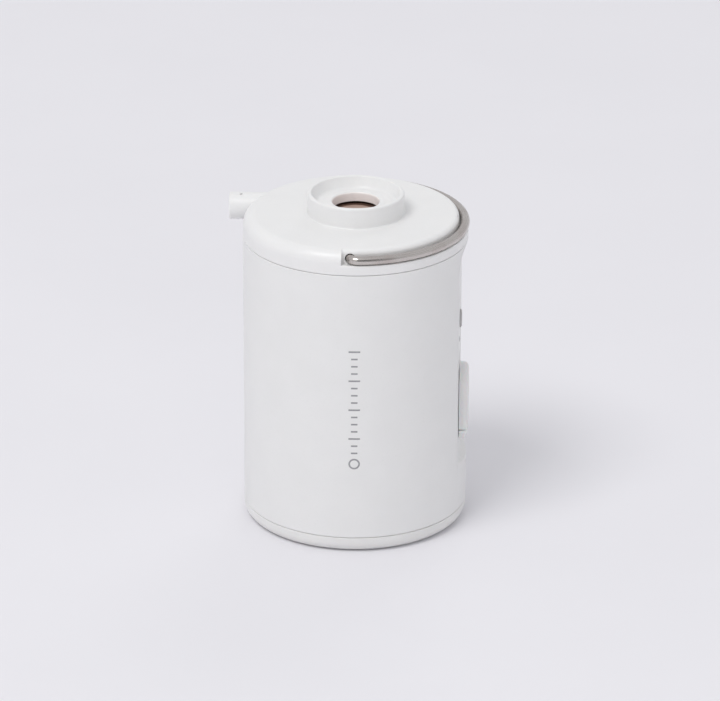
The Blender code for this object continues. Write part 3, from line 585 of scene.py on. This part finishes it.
def make_lid(material):
    """Lid moulding: shoulder, collar, hose socket, throat, bail rebate and outlet nozzle."""
    low = LID_BOTTOM - SEAM
    rim = 0.42 * MM                # rounding inside the collar's top edge
    brow = 0.5 * MM                # rounding outside it
    bead = 0.5 * MM                # rounding of the raised bead round the bore
    root = 0.45 * MM               # fillet where the collar meets the lid
    bead_top = SOCKET_FLOOR + 0.35 * MM
    moat = SOCKET_FLOOR - 0.2 * MM
    profile = [(BORE_R, THROAT_TOP)]
    profile += arc((BORE_R + bead, bead_top - bead), bead, 180.0, 90.0, 8)
    profile += [(BORE_R + out * MM, bead_top - drop * MM)
                for out, drop in ((1.0, 0.07), (1.5, 0.25), (2.0, 0.42), (2.5, 0.52))]
    profile += arc((SOCKET_R - 1.8 * MM, moat + MM), MM, -90.0, -25.0, 8)
    profile += arc((SOCKET_R + rim, COLLAR_TOP - rim), rim, 180.0, 90.0, 6)
    profile += arc((COLLAR_R - brow, COLLAR_TOP - brow), brow, 90.0, 0.0, 7)
    profile += arc((COLLAR_R + root, LID_TOP + root), root, 180.0, 270.0, 6)
    profile += [(COLLAR_R + 5.0 * MM, LID_TOP), (COLLAR_R + 9.0 * MM, LID_TOP)]
    profile += arc((BODY_R - LID_FILLET, LID_TOP - LID_FILLET), LID_FILLET, 90.0, 0.0, 18)
    profile += arc((BODY_R - EDGE, low + EDGE), EDGE, 0.0, -90.0, 4)
    profile += [(SPIGOT_R, low), (SPIGOT_R, SPIGOT_BOTTOM), (LID_RING_R, SPIGOT_BOTTOM)]
    profile += [(LID_RING_R, LID_CEILING), (THROAT_R, LID_CEILING), (THROAT_R, THROAT_TOP)]
    lid = turned("lid_casing", profile, material, SHELL_SIDES)

    lip = 0.3 * MM
    tube_profile = [(0.0, NOZZLE_ROOT_X), (NOZZLE_R, NOZZLE_ROOT_X)]
    tube_profile += [(NOZZLE_R + lip * (math.cos(math.radians(a)) - 1.0),
                      NOZZLE_TIP_X + lip * (1.0 - math.sin(math.radians(a))))
                     for a in range(0, 91, 15)]
    tube_profile.append((0.0, NOZZLE_TIP_X))
    tube = turned("nozzle_tube", tube_profile, None, 96, (0.0, NOZZLE_Y, NOZZLE_Z), "X", 1.0)
    boolean(lid, [tube], "UNION")

    shoulder = 1.35 * MM
    shoulder_z = LID_TOP - shoulder + 0.02 * MM
    outside = BODY_R + 2.5 * MM
    brim = 0.35 * MM
    corner = 0.25 * MM
    rebate_profile = arc((REBATE_R + corner, REBATE_FLOOR + corner), corner, 270.0, 180.0, 5)
    rebate_profile += arc((REBATE_R - shoulder, shoulder_z), shoulder, 6.0, 88.0, 14)
    rebate_profile += [(REBATE_R - shoulder, LID_TOP + MM), (outside, LID_TOP + MM)]
    rebate_profile.append((outside, REBATE_FLOOR - brim * 0.8))
    rebate_profile += arc((BODY_R - brim, REBATE_FLOOR - brim), brim, 10.0, 90.0, 6)
    rebate = turned("rebate_ring", rebate_profile, None, SHELL_SIDES)
    turn_in = 0.5 * MM
    turn_x = REBATE_END_X - turn_in
    far = 40.0 * MM
    end_outline = [(-far, -far), (turn_x, -far)]
    end_outline += arc((turn_x, -BODY_R + turn_in), turn_in, -80.0, 0.0, 6)
    end_outline += arc((turn_x, BODY_R - turn_in), turn_in, 0.0, 80.0, 6)
    end_outline += [(turn_x, far), (-far, far)]
    bare_side = extruded("bare_side", end_outline, 60.0 * MM, 100.0 * MM, "Z")
    boolean(rebate, [bare_side], "DIFFERENCE")

    hole_end = PIN_INNER_Y - 0.6 * MM
    near_pin = turned("near_pin_cut", rod(PIN_HOLE_R, -28.0 * MM, -hole_end), None, 48,
                      (0.0, 0.0, BAIL_Z), "Y", 5.0)
    far_pin = turned("far_pin_cut", rod(PIN_HOLE_R, hole_end, 28.0 * MM), None, 48,
                     (0.0, 0.0, BAIL_Z), "Y", 5.0)
    outlet_hole = flared(NOZZLE_BORE_R, NOZZLE_TIP_X - MM, -17.0 * MM, NOZZLE_TIP_X, 0.2 * MM)
    outlet = turned("outlet_cut", outlet_hole, None, 64, (0.0, NOZZLE_Y, NOZZLE_Z), "X", 4.0)
    panel_side = block("panel_side_cut", (23.3 * MM, -20.0 * MM, SPIGOT_BOTTOM - MM),
                       (30.0 * MM, 20.0 * MM, low))
    finger_r = 6.0 * MM
    finger = turned("bail_finger_cut", arc((0.0, 0.0), finger_r, 90.0, -90.0, 32), None, 96,
                    (BAIL_R + 3.6 * MM, 0.0, LID_TOP + 1.5 * MM), "Z", 1.3)
    vent_r = 0.38 * MM
    vent_floor = NOZZLE_Z + NOZZLE_R - 1.6 * MM
    vent = turned("vent_cut", rod(vent_r, vent_floor, LID_TOP + 2.0 * MM), None, 24,
                  (NOZZLE_TIP_X + 3.0 * MM, NOZZLE_Y - 0.7 * MM, 0.0))
    boolean(lid, [rebate, near_pin, far_pin, outlet, panel_side, finger, vent], "DIFFERENCE")
    even_normals(lid)
    present(lid, "housing", "white_plastic", "top_lid")


def make_diffuser(material):
    """Base lamp cover that the pump stands on, with a shallow moulded ring underneath."""
    top = base_high.z - 2.3 * MM + SEAM
    foot_r = 2.8 * MM
    thick = 1.6 * MM
    spigot_out = BODY_R - 2.2 * MM
    profile = [(0.0, thick), (BODY_R - 3.2 * MM, thick), (BODY_R - 2.9 * MM, 2.0 * MM)]
    profile += [(BODY_R - 3.5 * MM, base_high.z), (spigot_out, base_high.z), (spigot_out, top)]
    profile += arc((BODY_R - EDGE, top - EDGE), EDGE, 90.0, 0.0, 4)
    profile += arc((BODY_R - foot_r, foot_r), foot_r, 0.0, -90.0, 12)
    ring = 0.25 * MM
    profile += [(24.6 * MM, 0.0), (24.4 * MM, ring), (23.6 * MM, ring), (23.4 * MM, 0.0)]
    profile += [(1.3 * MM, 0.0), (1.1 * MM, ring), (0.0, ring)]
    diffuser = turned("lamp_cover", profile, material, SHELL_SIDES)
    diffuser.data.set_sharp_from_angle(angle=math.radians(40.0))
    present(diffuser, "housing", "milky_plastic", "lamp_diffuser")


def bail_path():
    """The wire's centre line: pin, bend, half circle, bend, pin."""
    bend_y = math.sqrt((BAIL_R - BAIL_BEND_R) ** 2 - BAIL_BEND_R ** 2)
    reach = math.degrees(math.atan2(bend_y, BAIL_BEND_R))
    near = [(0.0, -PIN_INNER_Y), (0.0, -(PIN_INNER_Y + bend_y) / 2)]
    near += arc((BAIL_BEND_R, -bend_y), BAIL_BEND_R, 180.0, 360.0 - reach, 14)
    far = [(x, -y) for x, y in reversed(near)]
    return near + arc((0.0, 0.0), BAIL_R, -reach, reach, 120)[1:-1] + far


def make_bail(material):
    """Round wire swept along its path, with flat pin ends."""
    path = [Vector((x, y, BAIL_Z)) for x, y in bail_path()]
    sides = 28
    bm = bmesh.new()
    rings = []
    for i, point in enumerate(path):
        ahead = path[min(i + 1, len(path) - 1)] - path[max(i - 1, 0)]
        outward = ahead.normalized().cross(Vector((0.0, 0.0, 1.0)))
        ring = []
        for k in range(sides):
            angle = 2.0 * math.pi * k / sides
            offset = outward * math.cos(angle) + Vector((0.0, 0.0, 1.0)) * math.sin(angle)
            ring.append(bm.verts.new(point + offset * WIRE_R))
        rings.append(ring)
    for near, far in zip(rings, rings[1:]):
        bridge(bm, near, far)
    bm.faces.new(rings[0])
    bm.faces.new(rings[-1])
    bail = add_object("bail", bm, material)
    bail.data.set_sharp_from_angle(angle=math.radians(60.0))
    present(bail, "bail", "steel_wire", "bail_wire")


# ---- Side panel --------------------------------------------------------------------------------
COVER_WIDTH = flap_high.y - flap_low.y
COVER_BACK = PANEL_X + 0.15 * MM
COVER_ROUND = 1.3 * MM
SPLIT = 0.16 * MM              # half the seam between the root and the flap
COVER_ZONE_LOW = Vector((20.0 * MM, -10.0 * MM, 10.0 * MM))
COVER_ZONE_HIGH = Vector((32.0 * MM, 10.0 * MM, 50.0 * MM))


def cover_pad(name, face, material):
    """The whole cover as a pad with round ends and a well rounded front edge."""
    bm = bmesh.new()
    layers = [(COVER_BACK, 0.0)]
    for step in range(9):
        angle = math.radians(90.0 * step / 8)
        layers.append((face - COVER_ROUND * (1.0 - math.sin(angle)),
                       COVER_ROUND * (1.0 - math.cos(angle))))
    rings = []
    for x, inset in layers:
        outline = stadium(COVER_WIDTH - 2.0 * inset, anchor_low.z + inset, flap_high.z - inset, 28)
        rings.append([bm.verts.new((x, y, z)) for y, z in outline])
    for near, far in zip(rings, rings[1:]):
        bridge(bm, near, far)
    bm.faces.new(rings[0])
    bm.faces.new(rings[-1])
    return add_object(name, bm, material)


def make_cover(material):
    """Silicone cover in two pieces: the fixed root and the flap that bends away from it."""
    root = cover_pad("cover_root", anchor_high.x, material)
    split_from = Vector((*COVER_ZONE_LOW.xy, FLAP_HINGE.z - SPLIT))
    above = block("above", split_from, COVER_ZONE_HIGH)
    boolean(root, [above], "DIFFERENCE")
    peg = turned("root_peg", rod(COVER_ROOT_R, 23.2 * MM, COVER_BACK + 0.5 * MM), None, 32,
                 (0.0, 0.0, COVER_ROOT_Z), "X", 3.0)
    boolean(root, [peg], "UNION")
    even_normals(root)
    present(root, "housing", "white_silicone", "cover_anchor")

    flap = cover_pad("cover_flap", flap_high.x, material)
    split_to = Vector((*COVER_ZONE_HIGH.xy, FLAP_HINGE.z + SPLIT))
    below = block("below", COVER_ZONE_LOW, split_to)
    boolean(flap, [below], "DIFFERENCE")
    groove_r = 0.22 * MM
    groove_reach = 2.6 * MM
    grooves = []
    for row in range(3):
        height = flap_high.z - (3.6 + 1.1 * row) * MM
        grooves.append(turned("grip_groove", rod(groove_r, -groove_reach, groove_reach), None, 16,
                              (flap_high.x + 0.05 * MM, 0.0, height), "Y", 3.0))
    boolean(flap, grooves, "DIFFERENCE")
    tongue = extruded("tongue", stadium(1.8 * MM, PORT_Z - 3.2 * MM, PORT_Z + 3.2 * MM, 12),
                      24.6 * MM, COVER_BACK + 0.5 * MM, "X")
    boolean(flap, [tongue], "UNION")
    even_normals(flap)
    present(flap, "flap", "white_silicone", "port_cover")


def make_button(material):
    """Dished rubber button with a soft rim."""
    face = button_high.x
    radius = BUTTON_R
    soft = 0.45 * MM
    flange_r = 3.1 * MM
    flange_front = 23.2 * MM
    flange_back = 22.6 * MM
    dish = 0.22 * MM
    profile = [(0.0, face - dish)]
    for step in range(1, 9):
        share = step / 8
        profile.append(((radius - soft) * share, face - dish * (1.0 - share * share)))
    profile += arc((radius - soft, face - soft), soft, 90.0, 0.0, 7)[1:]
    profile += [(radius, flange_front), (flange_r, flange_front), (flange_r, flange_back)]
    profile.append((0.0, flange_back))
    button = turned("button_cap", profile, material, 72, (0.0, 0.0, BUTTON_Z), "X")
    button.data.set_sharp_from_angle(angle=math.radians(50.0))
    present(button, "button", "grey_rubber", "power_button")


def make_indicator(material):
    """Light pipe with a low dome at the panel."""
    radius = INDICATOR_R
    profile = [(0.0, pipe_high.x)]
    profile += [(radius * math.sin(math.radians(a)),
                 pipe_high.x - 0.25 * MM * (1.0 - math.cos(math.radians(a))))
                for a in range(15, 91, 15)]
    profile += [(radius, pipe_low.x), (0.0, pipe_low.x)]
    pipe = turned("indicator_lens", profile, material, 32, (0.0, 0.0, INDICATOR_Z), "X")
    pipe.data.set_sharp_from_angle(angle=math.radians(50.0))
    present(pipe, "housing", "clear_plastic", "indicator_pipe")


# ---- Print -------------------------------------------------------------------------------------
PRINT_AZIMUTH = -87.5          # degrees round the body; the front is at -90
PRINT_BOTTOM = 23.2 * MM
PRINT_TOP = 55.2 * MM
PRINT_WIDTH = 2.9 * MM
PRINT_LIFT = 0.012 * MM
PRINT_DEPTH = 0.02 * MM


def on_body(bm, across, up, lift):
    """Place a point of the print on the body, from its distances across and up."""
    angle = math.radians(PRINT_AZIMUTH) + across / BODY_R
    radius = BODY_R + lift
    return bm.verts.new((radius * math.cos(angle), radius * math.sin(angle), up))


def print_patch(bm, outline):
    """Lay a small closed (across, up) outline on the body as a thin raised patch."""
    back = [on_body(bm, across, up, -PRINT_DEPTH) for across, up in outline]
    front = [on_body(bm, across, up, PRINT_LIFT) for across, up in outline]
    bridge(bm, back, front)
    bm.faces.new(back)
    bm.faces.new(front)


def print_bar(bm, centre, across, up):
    """Lay a level bar on the body, in strips short enough to follow its curve."""
    strips = 8
    sections = []
    for i in range(strips + 1):
        place = across * (i / strips - 0.5)
        sections.append([on_body(bm, place, centre + side * up / 2, lift)
                         for side, lift in ((-1, -PRINT_DEPTH), (1, -PRINT_DEPTH),
                                            (1, PRINT_LIFT), (-1, PRINT_LIFT))])
    for near, far in zip(sections, sections[1:]):
        bridge(bm, near, far)
    bm.faces.new(sections[0])
    bm.faces.new(sections[-1])


def print_ring(bm, centre, radius, stroke):
    """A ring in short segments."""
    pieces = 16
    for i in range(pieces):
        start = 360.0 * i / pieces
        end = start + 360.0 / pieces
        outer = arc((0.0, centre), radius, start, end, 2)
        inner = arc((0.0, centre), radius - stroke, end, start, 2)
        print_patch(bm, outer + inner)


def make_print(material):
    """Plain level marks up the front: a ring, then bars that widen upwards in a repeating rhythm."""
    bm = bmesh.new()
    stroke = 0.42 * MM
    print_ring(bm, PRINT_BOTTOM + PRINT_WIDTH / 2, PRINT_WIDTH / 2, stroke)
    first = PRINT_BOTTOM + PRINT_WIDTH + 1.5 * MM
    count = 15
    pitch = (PRINT_TOP - first) / (count - 1)
    for i in range(count):
        width = PRINT_WIDTH if i % 4 == 2 else PRINT_WIDTH * 0.56
        print_bar(bm, first + i * pitch, width, stroke)
    marks = add_object("level_marks", bm, material)
    marks.data.set_sharp_from_angle(angle=math.radians(30.0))
    present(marks, "housing", "grey_rubber")


# ---- Inner pieces that show through the bore, and the rest of the assembly ---------------------
def finish_nodes():
    """Give every CAD node the finish of its slot, and round the edges of the two seen in the bore."""
    # the brown parts get a painted pool of light within 5 mm of the axis
    brown = brown_nylon("brown_nylon", 5.0 * MM)
    plated = metal("plated_metal", (0.62, 0.62, 0.63), 0.30)
    brass = metal("brass_metal", (0.75, 0.55, 0.25), 0.32)
    copper = metal("copper_winding", (0.72, 0.34, 0.18), 0.38, 0.25 * MM)
    inner_white = moulded("inner_plastic", (0.76, 0.76, 0.75), 0.50, 0.3 * MM, 0.006 * MM, False)
    black = moulded("black_nylon", (0.025, 0.025, 0.026), 0.48, 0.2 * MM, 0.005 * MM, False)
    wrap = moulded("cell_wrap", (0.05, 0.12, 0.34), 0.32, 0.5 * MM, 0.004 * MM, False)
    board = moulded("board_resin", (0.02, 0.11, 0.045), 0.34, 0.4 * MM, 0.006 * MM, False)
    magnet = moulded("ferrite", (0.06, 0.06, 0.065), 0.62, 0.15 * MM, 0.01 * MM, False)
    phosphor = moulded("lamp_phosphor", (0.86, 0.72, 0.24), 0.45, 0.2 * MM, 0.004 * MM, False)
    red = moulded("red_sleeve", (0.42, 0.02, 0.02), 0.45, 0.3 * MM, 0.003 * MM, False)
    rubber = matt_rubber("inner_rubber", (0.03, 0.03, 0.03))
    silicone = soft_silicone()
    by_slot = {
        "white_plastic": inner_white.material, "white_silicone": silicone,
        "grey_rubber": rubber, "brown_plastic": brown, "black_plastic": black.material,
        "plated_steel": plated, "dark_magnet": magnet.material, "brass": brass,
        "copper": copper, "board_green": board.material, "cell_wrap": wrap.material,
        "lamp_chip": phosphor.material, "red_sleeve": red.material,
        "black_sleeve": black.material, "milky_plastic": inner_white.material,
        "steel_wire": plated, "clear_plastic": phosphor.material,
    }
    slots = {row["node"]: row["material_slot"] for row in frame["record"]["subparts"]}
    for name, obj in frame["nodes"].items():
        obj.data.materials.clear()
        obj.data.materials.append(by_slot[slots[name]])
        obj.data.shade_smooth()
        obj.data.set_sharp_from_angle(angle=math.radians(35.0))
    for name in ("intake_guard", "impeller"):
        bevel = frame["nodes"][name].modifiers.new("soft_edges", "BEVEL")
        bevel.width = 0.12 * MM
        bevel.segments = 2
        bevel.limit_method = "ANGLE"
        bevel.angle_limit = math.radians(40.0)


# ---- Floor, light and camera -------------------------------------------------------------------
CAMERA_AZIMUTH = 3.0           # degrees; 0 looks along +Y
CAMERA_ELEVATION = 23.14
CAMERA_DISTANCE = 46.2 * BODY_R
CAMERA_ROLL = -0.15
TARGET = Vector((0.0, 0.0, 1.25 * BODY_R))
FOCAL_PER_SENSOR = 7.145
SHIFT = (0.0065, 0.0403)
WORLD_STRENGTH = 0.66
DIM_PATCH_DIRECTION = (0.25, -0.90, 0.36)


def make_camera():
    """Long-lens camera at the viewing angle, aimed at the body's axis."""
    data = bpy.data.cameras.new("camera")
    data.sensor_width = 36.0
    data.lens = 36.0 * FOCAL_PER_SENSOR
    data.clip_start = 0.01
    data.clip_end = 20.0
    data.shift_x, data.shift_y = SHIFT
    camera = bpy.data.objects.new("camera", data)
    bpy.context.scene.collection.objects.link(camera)
    azimuth = math.radians(CAMERA_AZIMUTH)
    elevation = math.radians(CAMERA_ELEVATION)
    back = Vector((math.sin(azimuth) * math.cos(elevation),
                   -math.cos(azimuth) * math.cos(elevation), math.sin(elevation)))
    camera.location = TARGET + back * CAMERA_DISTANCE
    turn = back.to_track_quat("Z", "Y")
    roll = Matrix.Rotation(math.radians(-CAMERA_ROLL), 4, "Z")
    camera.matrix_world = Matrix.Translation(camera.location) @ turn.to_matrix().to_4x4() @ roll
    bpy.context.scene.camera = camera


def make_light(name, position, size, power, rgb, mirrored=False, aim=(0.0, 0.0, 0.04)):
    """Square soft light aimed at a point; it shows in shiny surfaces only when mirrored is true."""
    data = bpy.data.lights.new(name, "AREA")
    data.shape = "SQUARE"
    data.size = size
    data.energy = power
    data.color = rgb
    light = bpy.data.objects.new(name, data)
    light.location = position
    light.visible_glossy = mirrored
    light.rotation_euler = (Vector(position) - Vector(aim)).to_track_quat("Z", "Y").to_euler()
    bpy.context.scene.collection.objects.link(light)


def make_floor():
    """Plain pale floor."""
    finish = Finish("pale_floor", (0.815, 0.806, 0.838), 0.75)
    finish.tint(finish.spread(finish.noise(60 * MM, 3.0), 0.3, 0.7), (0.807, 0.798, 0.830))
    finish.bump(finish.noise(0.8 * MM, 3.0), 0.01 * MM)
    bm = bmesh.new()
    bmesh.ops.create_grid(bm, x_segments=8, y_segments=8, size=4.0)
    floor = add_object("floor", bm, finish.material)


def make_world():
    """Even pale surroundings, with a dimmer patch at the front as in a real studio."""
    world = bpy.data.worlds.new("studio")
    world.use_nodes = True
    tree = world.node_tree
    background = tree.nodes["Background"]
    background.inputs["Color"].default_value = (0.97, 0.975, 1.0, 1.0)
    coords = tree.nodes.new("ShaderNodeTexCoord")
    towards = tree.nodes.new("ShaderNodeVectorMath")
    towards.operation = "DOT_PRODUCT"
    towards.inputs[1].default_value = DIM_PATCH_DIRECTION
    dim = tree.nodes.new("ShaderNodeMapRange")
    dim.interpolation_type = "SMOOTHSTEP"
    dim.inputs["From Min"].default_value = math.cos(math.radians(32.0))
    dim.inputs["From Max"].default_value = math.cos(math.radians(14.0))
    dim.inputs["To Min"].default_value = WORLD_STRENGTH
    dim.inputs["To Max"].default_value = WORLD_STRENGTH * 0.35
    tree.links.new(coords.outputs["Generated"], towards.inputs[0])
    tree.links.new(towards.outputs["Value"], dim.inputs["Value"])
    tree.links.new(dim.outputs["Result"], background.inputs["Strength"])
    bpy.context.scene.world = world


def main():
    """Set the stage, then finish and build the pieces."""
    bpy.context.scene.view_settings.view_transform = "Standard"
    make_camera()
    make_floor()
    make_world()
    make_light("key", (-1.05, -1.34, 2.75), 1.3, 38.0, (1.0, 0.995, 0.985), True)
    make_light("front_fill", (0.7, -3.0, 1.1), 1.6, 12.0, (1.0, 0.995, 0.99))
    make_light("back_fill", (0.8, 3.2, 2.6), 2.0, 15.0, (1.0, 1.0, 1.0))
    finish_nodes()
    make_shell(casing_plastic())
    make_lid(lid_plastic())
    make_diffuser(diffuser_plastic())
    make_bail(drawn_steel())
    silicone = soft_silicone()
    make_cover(silicone)
    make_button(matt_rubber("grey_button", (0.46, 0.45, 0.45)))
    make_indicator(clear_pipe())
    make_print(grey_print())


main()
